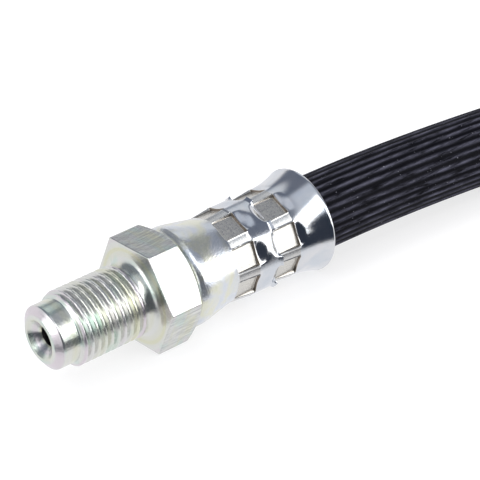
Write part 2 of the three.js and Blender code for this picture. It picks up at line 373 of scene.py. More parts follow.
@dataclass(frozen=True)
class CrimpedShellZinc(Finish):
    """Deep drawn mild steel shell, bright zinc plated, then pressed in a crimping die.

    It looks brighter and bluer than the turned bar. The drawing leaves the dome satin and a
    little straw coloured, the flaring polishes the bell like a mirror, and the jaws leave a fine
    grain and short scratches on the dents. The foot of each dent's end wall carries a dull brown
    painted shade.
    """

    base: str = "#e2e3e5"
    cool: str = "#d3d9e0"
    warm: str = "#d6d2c8"
    # Painted shade at the foot of each dent's end wall, where the shell turns up out of the dent.
    dull: str = "#80776d"
    straw: str = "#dfdfc6"
    roughness: float = 0.12
    dome_roughness: float = 0.17
    dent_roughness: float = 0.288
    dome_haze: float = 0.13
    dent_haze: float = 0.07
    dent_warmth: float = 0.8
    dome_ends: Pair = (8.0, 5.6)
    grain_size: float = 0.34
    grain_depth: float = 0.04 * MM
    cloud_size: float = 3.2
    scratch_shape: Triple = (0.6, 4.0, 4.0)
    scratch_scale: float = 1.6
    scratch_depth: float = 0.05 * MM

    def material(self) -> Material:
        """Builds the finish. See Finish.material."""
        made, shader, here = self.begin()
        tree = made.node_tree
        add = partial(add_node, tree)
        stretched = add("Mapping", {"Vector": here, "Scale": self.scratch_shape})[0]
        clouds, grain, scratches = add_row(
            tree, "TexNoise", NOISE,
            (
                (here, 1 / self.cloud_size, 3.0, 0.5, 0.5),
                (here, 1 / self.grain_size, 3.0, 0.7),
                (stretched, self.scratch_scale, 5.0, 0.75),
            ),
        )
        worked = add("Attribute", attribute_name="pressed")["Fac"]
        axial = add("SeparateXYZ", {0: here})[0]
        along = add("Math", {0: axial}, operation="ABSOLUTE")[0]
        dome = add(
            "MapRange", {"Value": along, 1: self.dome_ends[0], 2: self.dome_ends[1]},
            interpolation_type="SMOOTHSTEP",
        )[0]
        # wall picks out the foot of the dents' end walls, which gets the dull brown painted shade.
        pressed, wall, cooled, stain, spread, coarse = add_row(
            tree, "MapRange", RANGE,
            (
                (worked,),
                (worked, 1.1, 1.7),
                (clouds, 0.4, 0.62, 0.0, 0.8),
                (clouds, 0.56, 0.42, 0.0, 0.7),
                (grain, 0.3, 0.7, 0.7, 1.4),
                (dome, 0.0, 1.0, 0.06, 0.8),
            ),
        )
        stained, warmed, dulled = add_row(
            tree, "Math", (0, 1),
            ((stain, dome), (pressed, self.dent_warmth), (pressed, self.dent_haze)),
            operation="MULTIPLY",
        )
        colour = layered(
            tree, self.base,
            ((cooled, self.cool), (stained, self.straw), (warmed, self.warm), (wall, self.dull)),
        )
        satin = self.roughness
        for share, other in ((dome, self.dome_roughness), (pressed, self.dent_roughness)):
            satin = add("Mix", {0: share, 2: satin, 3: other}, data_type="FLOAT")[0]
        rough = add("Math", {0: satin, 1: spread}, operation="MULTIPLY")[0]
        haze = add("Mix", {0: dome, 2: dulled, 3: self.dome_haze}, data_type="FLOAT")[0]
        clear = add("Math", {0: 1.0, 1: haze}, operation="SUBTRACT")[0]
        fine = add("Bump", {"Height": grain, "Strength": coarse, "Distance": self.grain_depth})[0]
        bump = add(
            "Bump",
            {"Height": scratches, "Strength": 0.14, "Distance": self.scratch_depth, "Normal": fine},
        )[0]
        plug(tree, shader, {"Base Color": colour, "Roughness": rough, "Normal": bump, "Metallic": clear})
        return made


@dataclass(frozen=True)
class ExtrudedRubber(Finish):
    """Synthetic rubber cover, extruded with fine ribs and cured.

    It looks black with a blue cast and a low sheen. The ribs' tops carry a paler painted
    highlight in long patches, and a few specks of talc from the curing stay on it.
    """

    base: str = "#06060c"
    # Painted highlight on the ribs' crests.
    crest_highlight: str = "#5c5c6b"
    talc: str = "#8d8d97"
    roughness: float = 0.55
    shine: float = 0.06
    speck_size: float = 0.35
    grain_size: float = 1 / 4.5
    grain_depth: float = 0.06 * MM
    highlight_shape: Triple = (0.22, 1.6, 1.6)
    highlight_scale: float = 1.2

    def material(self) -> Material:
        """Builds the finish, with the ribs' own crest attribute. See Finish.material."""
        made, shader, here = self.begin()
        tree = made.node_tree
        add = partial(add_node, tree)
        crest = add("Attribute", attribute_name="crest")["Fac"]
        along = add("Mapping", {"Vector": here, "Scale": self.highlight_shape})[0]
        highlight_noise, specks, grain = add_row(
            tree, "TexNoise", NOISE,
            (
                (along, self.highlight_scale, 4.0, 0.7),
                (here, 1 / self.speck_size, 2.0, 0.5),
                (here, 1 / self.grain_size, 4.0, 0.7),
            ),
        )
        highlight_patches, dusty, rough = add_row(
            tree, "MapRange", RANGE,
            (
                (highlight_noise, 0.35, 0.7),
                (specks, 0.71, 0.78, 0.0, 0.7),
                (grain, 0.3, 0.7, self.roughness * 0.85, self.roughness * 1.2),
            ),
        )
        # The ribs' crests, in long patches along the hose, take the painted highlight.
        crest_highlight_share = add("Math", {0: crest, 1: highlight_patches}, operation="MULTIPLY")[0]
        colour = layered(tree, self.base, ((crest_highlight_share, self.crest_highlight), (dusty, self.talc)))
        bump = add("Bump", {"Height": grain, "Strength": 0.25, "Distance": self.grain_depth})[0]
        plug(tree, shader, {"Base Color": colour, "Roughness": rough, "Normal": bump})
        plug(tree, shader, {"Specular IOR Level": self.shine})
        return made


@dataclass(frozen=True)
class Corner:
    """A corner of a turned outline, and how far along each side it is eased."""

    x: float
    r: float
    ease: float = 0.0


@dataclass(frozen=True)
class Station:
    """One ring of a turned piece: its distance along the axis, radius and zone."""

    x: float
    r: float
    zone: Zone = Zone.ROUND


def eased(corners: list[Corner], arc_steps: int = 4) -> list[Station]:
    """Rounds the corners of an outline, with a ring close to each end of every rounding.

    Args:
        corners: the outline, in order.
        arc_steps: pieces that each rounding has.

    Returns:
        The rings of the outline.
    """
    rings: list[Station] = []
    for before, here, after in zip(corners, corners[1:], corners[2:]):
        if here.ease <= 0:
            rings.append(Station(here.x, here.r))
            continue
        middle = Vector((here.x, here.r))
        back = (Vector((before.x, before.r)) - middle).normalized()
        on = (Vector((after.x, after.r)) - middle).normalized()
        start, end = middle + back * here.ease, middle + on * here.ease
        points = [start + back * here.ease * 0.25]
        for step in range(arc_steps + 1):
            t = step / arc_steps
            points.append(start * (1 - t) ** 2 + middle * 2 * t * (1 - t) + end * t * t)
        points.append(end + on * here.ease * 0.25)
        rings.extend(Station(p.x, p.y) for p in points)
    return rings


@dataclass
class TurnedPiece:
    """A piece that is spun from rings about its fitting's axis and then shaped ring by ring.

    The mark names the attribute that its material reads. The columns are the steps of the spin.
    """

    name: str
    node: str
    slot: Slot
    place: FittingPlace
    columns: int = 144
    sharp_angle: float = radians(38)
    mark: str = "bar"

    def rings(self) -> list[Station]:
        """The closed outline of the piece."""
        raise NotImplementedError

    def shape(self, ring: Station, angle: float) -> tuple[float, float, float, float]:
        """Shapes one point.

        Args:
            ring: the ring that the point is on.
            angle: its angle from the top towards the front, in radians.

        Returns:
            Distance along the axis, radius, angle and the share for the piece's attribute.
        """
        raise NotImplementedError

    def build(self, finish: Finish) -> Object:
        """Spins, shapes, dresses and mounts the piece.

        Args:
            finish: what its surface is made of.

        Returns:
            The object, in place of its solid.
        """
        rings = self.rings()
        bm = bmesh.new()
        verts = [bm.verts.new((ring.x, 0.0, ring.r)) for ring in rings]
        edges = [bm.edges.new(pair) for pair in zip(verts, verts[1:] + verts[:1])]
        bmesh.ops.spin(
            bm, geom=verts + edges, cent=(0, 0, 0), axis=(1, 0, 0), dvec=(0, 0, 0),
            angle=2 * pi, steps=self.columns, use_merge=True,
        )
        tree = KDTree(len(rings))
        for index, ring in enumerate(rings):
            tree.insert((ring.x, ring.r, 0.0), index)
        tree.balance()
        layer = bm.verts.layers.float.new(self.mark)
        for vert in bm.verts:
            index = tree.find((vert.co.x, hypot(vert.co.y, vert.co.z), 0.0))[1]
            angle = atan2(-vert.co.y, vert.co.z)
            x, r, angle, share = self.shape(rings[index], angle)
            vert.co = (x, -r * sin(angle), r * cos(angle))
            vert[layer] = share
        made = placed(bm, self.name, self.place.matrix(), self.sharp_angle, finish)
        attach(made, "root")
        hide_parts(self.node)
        log.info("%s: %d faces", self.name, len(made.data.polygons))
        return made


@dataclass
class Union(TurnedPiece):
    """What both unions share: the hexagon, the neck, the collar and the barbed stem."""

    across_flats: float = 14.0
    hex_length: float = 5.25
    corner_round: float = 0.22
    chamfer_slope: float = tan(radians(30))
    neck_radius: float = 4.0
    collar: Triple = (1.8, 3.8, 5.3)
    stem_radius: float = 1.8
    stem_end: float = 17.85
    barb_starts: tuple[float, ...] = (7.1, 10.683, 14.267)
    barb_height: float = 0.22
    barb_length: float = 2.87
    bore_radius: float = 1.3
    thread_pitch: float = 1.0
    thread_depth: float = 0.57
    crest_flat: float = 0.26
    square: BarEnd = (
        (0.0, 0.16, Zone.BAR), (0.0, 0.1, Zone.BAR), (0.03, 0.03, Zone.BAR), (0.1, 0.0, Zone.BAR),
        (0.16, 0.0, Zone.BAR),
    )
    chamfered: BarEnd = (
        (0.0, 0.16, Zone.BAR_CHAMFER), (0.0, 0.1, Zone.BAR_CHAMFER), (0.02, 0.03, Zone.BAR_EDGE),
        (0.08, 0.0, Zone.BAR_EDGE), (0.14, 0.0, Zone.BAR_EDGE), (1.0, 0.0, Zone.BAR),
    )

    def hex_radius(self, angle: float) -> float:
        """Distance from the axis to the hexagon's side, its corners rounded."""
        half = self.across_flats / 2
        off = abs((angle + pi / 6) % (pi / 3) - pi / 6)
        past = pi / 6 - off
        centre = (half - self.corner_round) / cos(pi / 6)
        if centre * sin(past) < self.corner_round / 2:
            reach = self.corner_round**2 - (centre * sin(past)) ** 2
            return centre * cos(past) + sqrt(reach)
        return half / cos(off)

    def crowded(self, angle: float) -> float:
        """Moves an angle towards the hexagon's nearest corner, so that its rounding has faces."""
        side = round(angle / (pi / 3))
        off = angle - side * pi / 3
        share = min(abs(off) / (pi / 6), 1.0)
        return side * pi / 3 + copysign(pi / 6 * (1 - (1 - share) ** 1.6), off)

    def shape(self, ring: Station, angle: float) -> tuple[float, float, float, float]:
        """Makes the hexagon and the thread. See TurnedPiece.shape."""
        half = self.across_flats / 2
        if ring.zone in (Zone.BAR, Zone.BAR_EDGE, Zone.BAR_CHAMFER):
            angle = self.crowded(angle)
            reach = self.hex_radius(angle)
            inner = reach + ring.r - GUIDE
            if ring.zone is Zone.BAR:
                return ring.x, inner, angle, 1.0 if ring.r > GUIDE - 0.05 else 0.0
            cut = inner if ring.zone is Zone.BAR_CHAMFER else reach
            ramp = max(cut - half + 0.04, 0.0) * self.chamfer_slope
            share = 0.0 if ring.zone is Zone.BAR_CHAMFER else 1.0
            return ring.x + self.end_side(ring.x) * ramp, inner, angle, share
        if ring.zone is Zone.THREAD:
            return ring.x, self.threaded(ring.x, ring.r, angle), angle, 0.0
        return ring.x, ring.r, angle, 0.0

    def end_side(self, x: float) -> float:
        """Minus one at the hexagon's back end, plus one at its front end."""
        return -1.0 if x > -self.hex_length / 2 else 1.0

    def wave(self, x: float, angle: float) -> float:
        """Depth share of a right-handed V thread: 0 on its crest and 1 in its root."""
        phase = (x / self.thread_pitch - angle / (2 * pi)) % 1.0
        fold = abs(2 * phase - 1)
        down = min(max((fold - self.crest_flat) / (0.94 - self.crest_flat), 0.0), 1.0)
        return mix(down, smooth(0.0, 1.0, down), 0.25)

    def threaded(self, x: float, crest: float, angle: float) -> float:
        """Radius of the thread, where its outline has that crest."""
        raise NotImplementedError

    def bar_end(self, x: float, inward: float, outline: BarEnd) -> list[Station]:
        """Rings over one end of the hexagon, from its face inwards.

        Args:
            x: the face's place along the axis.
            inward: plus one where the hexagon lies on, and minus one where it lies back.
            outline: the end's own outline.

        Returns:
            The rings.
        """
        return [Station(x + inward * along, GUIDE - under, zone) for along, under, zone in outline]

    def back_end(self) -> list[Corner]:
        """Corners from the hexagon's back face to the bore's far end."""
        start, end, radius = self.collar
        corners = [
            Corner(0.0, self.across_flats / 2 - 0.3),
            Corner(0.0, self.neck_radius, 0.1),
            Corner(start, self.neck_radius, 0.1),
            Corner(start, radius, 0.15),
            Corner(end, radius, 0.15),
            Corner(end, self.stem_radius, 0.1),
        ]
        for barb in self.barb_starts:
            corners.append(Corner(barb, self.stem_radius))
            corners.append(Corner(barb + 0.01, self.stem_radius + self.barb_height))
            corners.append(Corner(barb + self.barb_length, self.stem_radius + 0.005))
        corners.append(Corner(self.stem_end, self.stem_radius - self.barb_height, 0.05))
        corners.append(Corner(self.stem_end, self.bore_radius, 0.05))
        return corners


@dataclass
class MaleUnion(Union):
    """Front union: nose with a tapered seat, external thread, relief, cove and hexagon."""

    tip: float = -19.85
    shoulder: float = -16.75
    seat_radius: float = 2.65
    rim_radius: float = 3.2
    nose_chamfer: float = 0.75
    nose_radius: float = 4.3
    thread_radius: float = 5.0
    relief_radius: float = 4.5
    cove_radius: float = 1.4
    rings_per_turn: int = 24

    def rings(self) -> list[Station]:
        """The outline from the nose, over the hexagon and back through the bore."""
        hex_front = -self.hex_length
        cove = hex_front - self.cove_radius
        nose = eased(
            [
                Corner(self.tip, self.seat_radius),
                Corner(self.tip, self.seat_radius, 0.06),
                Corner(self.tip, self.rim_radius, 0.08),
                Corner(self.tip + self.nose_chamfer, self.nose_radius, 0.14),
                Corner(self.shoulder - 0.02, self.nose_radius),
                Corner(self.shoulder, self.nose_radius),
            ]
        )[1:]
        step = (cove - self.shoulder) / round((cove - self.shoulder) * self.rings_per_turn)
        thread = []
        x = self.shoulder + step
        while x < cove - step / 2:
            lead = self.nose_radius + 0.08 + (x - self.shoulder) * 1.25
            out = self.relief_radius + (cove - x) * 2.5
            thread.append(Station(x, min(self.thread_radius, lead, out), Zone.THREAD))
            x += step
        hollow = self.relief_radius + self.cove_radius
        cove_rings = [
            Station(cove + self.cove_radius * cos(a), hollow + self.cove_radius * sin(a))
            for a in (radians(turn) for turn in range(-90, 0, 9))
        ]
        face = [
            Station(hex_front, hollow + 0.1),
            Station(hex_front, 6.5),
            *self.bar_end(hex_front, 1.0, self.square),
            *reversed(self.bar_end(0.0, -1.0, self.chamfered)),
        ]
        back = eased([Corner(0.0, 8.0), *self.back_end(), Corner(self.tip, self.bore_radius)])
        seat = self.tip + self.seat_radius - self.bore_radius
        bore = [
            Station(0.0, self.bore_radius),
            Station(seat + 0.03, self.bore_radius),
            Station(seat - 0.03, self.bore_radius + 0.03),
            Station((self.tip + seat) / 2, (self.bore_radius + self.seat_radius) / 2),
        ]
        return [*nose, *thread, *cove_rings, *face, *back, *bore]

    def threaded(self, x: float, crest: float, angle: float) -> float:
        """The thread, run out into the nose and into the relief groove."""
        full = self.thread_radius - self.thread_depth * self.wave(x, angle)
        root = self.thread_radius - self.thread_depth
        faded = mix(self.nose_radius, full, smooth(self.shoulder, self.shoulder + 0.5, x))
        cove = -self.hex_length - self.cove_radius
        faded = mix(faded, self.relief_radius, smooth(cove - 0.3, cove - 0.05, x))
        return min(faded, max(crest, root))


@dataclass
class FemaleUnion(Union):
    """Rear union: hexagon, round barrel with a clip groove, and a tapped port."""

    hex_length: float = 7.0
    barrel_radius: float = 6.5
    barrel_length: float = 6.5
    barrel_chamfer: float = 0.5
    groove: Pair = (-11.4, -9.4)
    groove_radius: float = 5.6
    port_radius: float = 5.02
    port_depth: float = 11.0
    rings_per_turn: int = 16

    def rings(self) -> list[Station]:
        """The outline from the port's mouth, over the hexagon and back through the port."""
        hex_front = -self.hex_length
        tip = hex_front - self.barrel_length
        port = self.port_radius
        barrel = eased(
            [
                Corner(tip + 1.0, port - 0.02),
                Corner(tip, port + 0.05, 0.06),
                Corner(tip, self.barrel_radius - self.barrel_chamfer, 0.08),
                Corner(tip + self.barrel_chamfer, self.barrel_radius, 0.1),
                Corner(self.groove[0], self.barrel_radius, 0.1),
                Corner(self.groove[0], self.groove_radius, 0.12),
                Corner(self.groove[1], self.groove_radius, 0.12),
                Corner(self.groove[1], self.barrel_radius, 0.1),
                Corner(hex_front, self.barrel_radius, 0.08),
                Corner(hex_front, 7.0),
            ]
        )
        face = [
            Station(hex_front, self.across_flats / 2 - 0.1),
            *self.bar_end(hex_front, 1.0, self.chamfered),
            *reversed(self.bar_end(0.0, -1.0, self.chamfered)),
        ]
        back = eased([Corner(0.0, 8.0), *self.back_end(), Corner(0.0, self.bore_radius)])
        bottom = tip + self.port_depth
        bore = [
            Station(bottom + (port - self.bore_radius) * 0.6, self.bore_radius),
            Station(bottom, port - self.thread_depth),
        ]
        first, last = bottom - 0.6, tip + 0.02
        count = round((first - last) * self.rings_per_turn)
        thread = [Station(mix(first, last, i / count), port, Zone.THREAD) for i in range(count)]
        return [*barrel, *face, *back, *bore, *thread]

    def threaded(self, x: float, crest: float, angle: float) -> float:
        """The tapped thread, opened by the chamfer at the port's mouth."""
        tip = -self.hex_length - self.barrel_length
        cut = crest - self.thread_depth * self.wave(x, angle)
        return max(cut, crest + 0.04 - (x - tip) * 0.95)


@dataclass
class CrimpedFerrule(TurnedPiece):
    """Drawn shell with a dome shoulder, two rows of pressed dents, a ring and a bell mouth.

    The rim gives distances back from the mouth and in from the bell's radius, round its edge and
    back inside. Entries and scoops are how far the metal is drawn in before and after each row.
    """

    columns: int = 320
    mark: str = "pressed"
    front: float = 0.3
    wall: float = 1.0
    lip_back: float = 1.5
    hole_radius: float = 4.3
    dome_radius: float = 6.9
    dome_rounding: float = 0.9
    dome_rise: float = 0.9
    dome_level: float = 0.5
    rows: tuple[Pair, ...] = ((7.1, 10.2), (13.95, 17.05))
    foot_radius: float = 5.95
    ridge_radius: float = 6.25
    ring_radius: float = 6.3
    flat_radius: float = 5.6
    dents: int = 8
    first_dent: float = radians(26.5)
    half_dent: float = radians(15.2)
    mouth: float = 22.4
    bell_radius: float = 7.2
    lip: float = 0.7
    rim: tuple[Pair, ...] = (
        (0.35, 0.0), (0.2, 0.02), (0.08, 0.09), (0.0, 0.25), (0.02, 0.42), (0.12, 0.58), (0.35, 0.72),
        (1.5, 1.1), (3.48, 1.65),
    )
    lining_shoulder: float = 4.86
    ring_step: float = 0.12
    dome_steps: int = 14
    entries: Pair = (0.2, 1.5)
    scoops: Pair = (2.0, 1.3)
    scoop_depth: float = 0.64
    burr_height: float = 0.035
    ridge_wear: float = 0.6

    def profile(self, x: float) -> float:
        """Radius of the shell before the jaws close on it, past the dome's top."""
        first, second = self.rows
        start = self.front + self.dome_rise + self.dome_level
        if x < first[0]:
            down = max(x - start, 0.0) / (first[0] + 0.1 - start)
            return mix(self.dome_radius, self.foot_radius, mix(down, smooth(0.0, 1.0, down), 0.35))
        if x < second[1]:
            row = first if x < second[0] else second
            ridge = mix(self.foot_radius, self.ridge_radius, (x - row[0]) / (row[1] - row[0]))
            swell = smooth(first[1] - 0.3, first[1] + 0.1, x) - smooth(second[0] - 0.5, second[0] + 0.1, x)
            return mix(ridge, self.ring_radius, swell)
        flare = min(max((x - second[1] + 0.6) / (self.mouth - second[1] + 0.25), 0.0), 1.0)
        return mix(self.ridge_radius, self.bell_radius, flare**2.2)

    def rings(self) -> list[Station]:
        """The outline from the lip's hole over the outside and back along the inside."""
        outline = [
            Station(self.front, self.hole_radius),
            Station(self.front, self.hole_radius + 0.1),
            Station(self.front, self.dome_radius - self.dome_rounding - 0.1),
        ]
        for step in range(1, self.dome_steps + 1):
            t = step / self.dome_steps * pi / 2
            x = self.front + self.dome_rise * (1 - cos(t) ** 1.25)
            outline.append(Station(x, self.dome_radius - self.dome_rounding * (1 - sin(t)) ** 1.1))
        x = self.front + self.dome_rise + 0.15
        while x < self.mouth - self.lip / 2:
            outline.append(Station(x, self.profile(x), Zone.SHELL))
            nearest = min(abs(x - place) for row in self.rows for place in row)
            x += self.ring_step * mix(0.45, 2.0, smooth(0.3, 1.0, nearest))
        outline += [Station(self.mouth - back, self.bell_radius - under) for back, under in self.rim]
        inner_ring = self.ring_radius - self.wall
        for start, end in reversed(self.rows):
            outline.append(Station(end, inner_ring, Zone.LINING))
            for share in (0.1, 0.3, 0.5, 0.7, 0.9):
                ridge = mix(self.ridge_radius, self.foot_radius, share) - self.wall
                outline.append(Station(mix(end, start, share), ridge, Zone.LINING))
            outline.append(Station(start, inner_ring, Zone.LINING))
        shoulder = self.dome_radius - self.wall
        outline += [Station(x, shoulder) for x in (self.lining_shoulder, self.lip_back)]
        return [*outline, Station(self.lip_back, self.hole_radius)]

    def shape(self, ring: Station, angle: float) -> tuple[float, float, float, float]:
        """Presses the dents. See TurnedPiece.shape."""
        if ring.zone not in (Zone.SHELL, Zone.LINING):
            return ring.x, ring.r, angle, 0.0
        pitch = 2 * pi / self.dents
        dent = round((angle - self.first_dent) / pitch)
        middle = self.first_dent + dent * pitch
        off = self.gathered(angle - middle)
        if ring.zone is Zone.LINING:
            flat = (self.flat_radius - self.wall) / cos(min(abs(off), self.half_dent))
            pressed = ring.r < self.ridge_radius - self.wall + 0.01 and abs(off) < self.half_dent
            return ring.x, min(ring.r, flat) if pressed else ring.r, middle + off, 0.0
        row = int(ring.x > (self.rows[0][1] + self.rows[1][0]) / 2)
        depth, face = self.dent_share(ring.x, off, row)
        tilt = noise.noise(Vector((dent % self.dents * 1.7, row * 5.3, 3.1)))
        flat = (self.flat_radius + 0.04 * tilt) / cos(off) + 0.15 * tilt * off
        radius = mix(ring.r, flat, depth) + self.burr(ring.x, off, row)
        return ring.x, radius, middle + off, face

    def gathered(self, off: float) -> float:
        """Moves an angle from a dent's middle so that more columns lie by the dent's sides."""
        half = pi / self.dents
        near, far = self.half_dent - 0.025, self.half_dent + 0.05
        share = abs(off) / half
        if share < 0.3:
            return off * near / (0.3 * half)
        if share < 0.8:
            return copysign(mix(near, far, (share - 0.3) / 0.5), off)
        return copysign(mix(far, half, (share - 0.8) / 0.2), off)

    def dent_share(self, x: float, off: float, row: int) -> Pair:
        """How far a point of the shell is pressed, and how far it lies on the jaw's own flat.

        Args:
            x: distance along the axis.
            off: angle from the dent's middle.
            row: 0 for the row by the dome and 1 for the row by the bell.

        Returns:
            Share of the dent's depth, and how far the jaws worked it: 0 untouched, 1 flat, 2 the foot of
            the end wall, which takes painted shade.
        """
        start, end = self.rows[row]
        plan = sqrt(max(1 - (off / (self.half_dent + 0.04)) ** 2, 0.0))
        across = 1 - smooth(self.half_dent - 0.004, self.half_dent + 0.02, abs(off))
        entry = smooth(start - self.entries[row] * plan - 0.05, start + 0.12, x)
        step = smooth(end, end + 0.14, x)
        bowl = self.scoop_depth * plan**2
        scoop = bowl * (1 - smooth(end - 0.1, end + self.scoops[row], x))
        leave = mix(1.0, scoop, step)
        within = smooth(start - 0.05, start + 0.1, x) * (1 - step)
        beside = smooth(self.half_dent - 0.01, self.half_dent + 0.005, abs(off)) * across
        # The foot of the end wall, which the finish paints with dull brown shade.
        shaded_foot = smooth(end - 0.01, end + 0.04, x) * (1 - smooth(end + 0.1, end + 0.3, x)) * across
        face = max(within * mix(self.ridge_wear, 1.0, across) + within * beside, 2 * shaded_foot)
        soft = 1 - smooth(self.half_dent - 0.06, self.half_dent + 0.06, abs(off))
        side = mix(soft, across, span(start, end, 0.1, 0.3, x))
        return side * entry * leave, face

    def burr(self, x: float, off: float, row: int) -> float:
        """The raised lines that the jaws' edges leave round each dent, a little uneven."""
        start, end = self.rows[row]
        uneven = 1 + 0.7 * noise.noise(Vector((x * 2.2, off * 9.0, row * 4.0)))
        within = span(start, end, 0.3, 0.3, x)
        beside = exp(-(((abs(off) - self.half_dent - 0.024) / 0.012) ** 2))
        after = exp(-(((x - end - 0.16) / 0.09) ** 2))
        along = after + 0.5 * exp(-(((x - start + 0.1) / 0.08) ** 2))
        inside = 1 - smooth(self.half_dent, self.half_dent + 0.02, abs(off))
        return self.burr_height * uneven * max(within * beside, inside * along)


@dataclass
class RibbedHose:
    """The rubber hose with its extruded ribs, squeezed where the ferrules hold it.

    The route gives shares of the free span and of the side shift, and how far it is lifted from
    the ground to the fittings' axis. The squeeze gives radii by the distance from the hose's end.
    """

    name: str = "hose_ribbed"
    node: str = "hose"
    diameter: float = 10.5
    bore_radius: float = 1.6
    ribs: int = 30
    rib_depth: float = 0.17
    faces_per_rib: int = 8
    free_span: float = 266.0
    side_shift: float = 40.0
    mouth: Pair = (-129.825, 20.0)
    axis_height: float = 7.2
    lying_height: float = 5.3
    ends: Pair = (-148.125, 154.475)
    step: float = 2.5
    bore_sides: int = 24
    sharp_angle: float = radians(60)
    route: tuple[Triple, ...] = (
        (0, 0, 1), (0.038, 0.007, 0.97), (0.075, 0.022, 0.88), (0.113, 0.044, 0.72),
        (0.158, 0.078, 0.46), (0.211, 0.128, 0.19), (0.271, 0.198, 0.04), (0.338, 0.283, 0),
        (0.421, 0.395, 0), (0.504, 0.515, 0), (0.586, 0.635, 0), (0.662, 0.74, 0),
        (0.729, 0.825, 0.04), (0.789, 0.89, 0.19), (0.842, 0.938, 0.46), (0.887, 0.97, 0.72),
        (0.925, 0.988, 0.88), (0.962, 0.998, 0.97), (1, 1, 1),
    )
    squeeze: tuple[Pair, ...] = (
        (0.0, 5.0), (1.0, 5.0), (3.0, 4.45), (6.1, 4.45), (7.35, 4.85), (8.6, 4.85), (9.85, 4.45),
        (12.95, 4.45), (15.9, 5.25),
    )

    def knots(self) -> list[Vector]:
        """The route's points in millimetres, with a straight stretch inside each ferrule."""
        x, y = self.mouth
        low, high = self.lying_height, self.axis_height
        points = [
            Vector((x + along * self.free_span, y - shift * self.side_shift, mix(low, high, lift)))
            for along, shift, lift in self.route
        ]
        first, last = points[0], points[-1]
        fore = [Vector((x, first.y, first.z)) for x in (self.ends[0], first.x - 9, first.x - 3)]
        aft = [Vector((x, last.y, last.z)) for x in (last.x + 3, last.x + 9, self.ends[1])]
        return fore + points + aft

    def centreline(self) -> list[Vector]:
        """Points a step apart along a smooth curve through the knots."""
        knots = self.knots()
        line = [knots[0]]
        for i in range(len(knots) - 1):
            a, b = knots[i], knots[i + 1]
            run = b.x - a.x
            before = knots[i - 1] if i else a - (b - a)
            after = knots[i + 2] if i + 2 < len(knots) else b + (b - a)
            slope_a = (b - before) / (b.x - before.x)
            slope_b = (after - a) / (after.x - a.x)
            count = max(1, round((b - a).length / self.step))
            for k in range(1, count + 1):
                t = k / count
                line.append(
                    a * (2 * t**3 - 3 * t**2 + 1)
                    + slope_a * run * (t**3 - 2 * t**2 + t)
                    + b * (-2 * t**3 + 3 * t**2)
                    + slope_b * run * (t**3 - t**2)
                )
        return line

    def radius_at(self, x: float) -> float:
        """Outer radius, squeezed under the dents of either ferrule."""
        inside = min(x - self.ends[0], self.ends[1] - x)
        previous = self.squeeze[0]
        for here in self.squeeze:
            if inside <= here[0]:
                share = (inside - previous[0]) / max(here[0] - previous[0], 1e-6)
                return mix(previous[1], here[1], share)
            previous = here
        return self.diameter / 2

    def tube(
        self, bm: bmesh.types.BMesh, sides: int, line: list[Vector],
        radius_of: Callable[[int, int], float],
    ) -> tuple[list[bmesh.types.BMEdge], list[bmesh.types.BMEdge]]:
        """Extrudes a ring along the line.

        Args:
            bm: the mesh that it goes in.
            sides: points round the ring.
            line: the ring's centres.
            radius_of: gives the radius for a centre and a point's number.

        Returns:
            The edges of the first and of the last ring.
        """
        made = bmesh.ops.create_circle(bm, cap_ends=False, radius=1.0, segments=sides)["verts"]
        edges = list({edge for vert in made for edge in vert.link_edges})
        first = edges
        ring = list(made)
        for i, centre in enumerate(line):
            if i:
                geom = bmesh.ops.extrude_edge_only(bm, edges=edges)["geom"]
                edges = [e for e in geom if isinstance(e, bmesh.types.BMEdge)]
                copies = {e for e in geom if isinstance(e, bmesh.types.BMVert)}
                ring = [
                    next(e.other_vert(v) for e in v.link_edges if e.other_vert(v) in copies)
                    for v in ring
                ]
            on = line[min(i + 1, len(line) - 1)] - line[max(i - 1, 0)]
            aside = Vector((0, 0, 1)).cross(on).normalized()
            up = on.cross(aside).normalized()
            for k, vert in enumerate(ring):
                turn = 2 * pi * k / sides
                radius = radius_of(i, k)
                vert.co = centre + (aside * cos(turn) + up * sin(turn)) * radius
            edges = [e for e in edges if all(v in ring for v in e.verts)] if i else edges
        return first, edges

    def rib_height(self, k: int) -> float:
        """Share of the rib's full height at a point of the section, each rib a little different."""
        rib, at = divmod(k, self.faces_per_rib)
        tall = 0.85 + 0.3 * noise.noise(Vector((rib * 2.3, 0.7, 5.1)))
        crest = cos(pi * (at / self.faces_per_rib - 0.5)) ** 4
        return min(crest * tall, 1.0)

    def build(self, finish: ExtrudedRubber) -> Object:
        """Args:
            finish: what its surface is made of.

        Returns:
            The object, in place of its solid.
        """
        line = self.centreline()
        sides = self.ribs * self.faces_per_rib
        bm = bmesh.new()
        layer = bm.verts.layers.float.new("crest")
        heights = [self.rib_height(k) for k in range(sides)]

        def outside(i: int, k: int) -> float:
            return self.radius_at(line[i].x) - self.rib_depth * (1 - heights[k])

        outer = self.tube(bm, sides, line, outside)
        for vert in bm.verts:
            vert[layer] = 0.0
        count = len(bm.verts)
        inner = self.tube(bm, self.bore_sides, line, lambda i, k: self.bore_radius)
        for a, b in zip(outer, inner):
            bmesh.ops.bridge_loops(bm, edges=a + b)
        bm.verts.ensure_lookup_table()
        centres = KDTree(len(line))
        for i, centre in enumerate(line):
            centres.insert(centre, i)
        centres.balance()
        for vert in bm.verts[:count]:
            i = centres.find(vert.co)[1]
            gap = self.radius_at(line[i].x) - (vert.co - line[i]).length
            vert[layer] = 1 - min(gap / self.rib_depth, 1.0)
        made = placed(bm, self.name, Matrix.Scale(MM, 4), self.sharp_angle, finish)
        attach(made, "root")
        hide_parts(self.node)
        return made


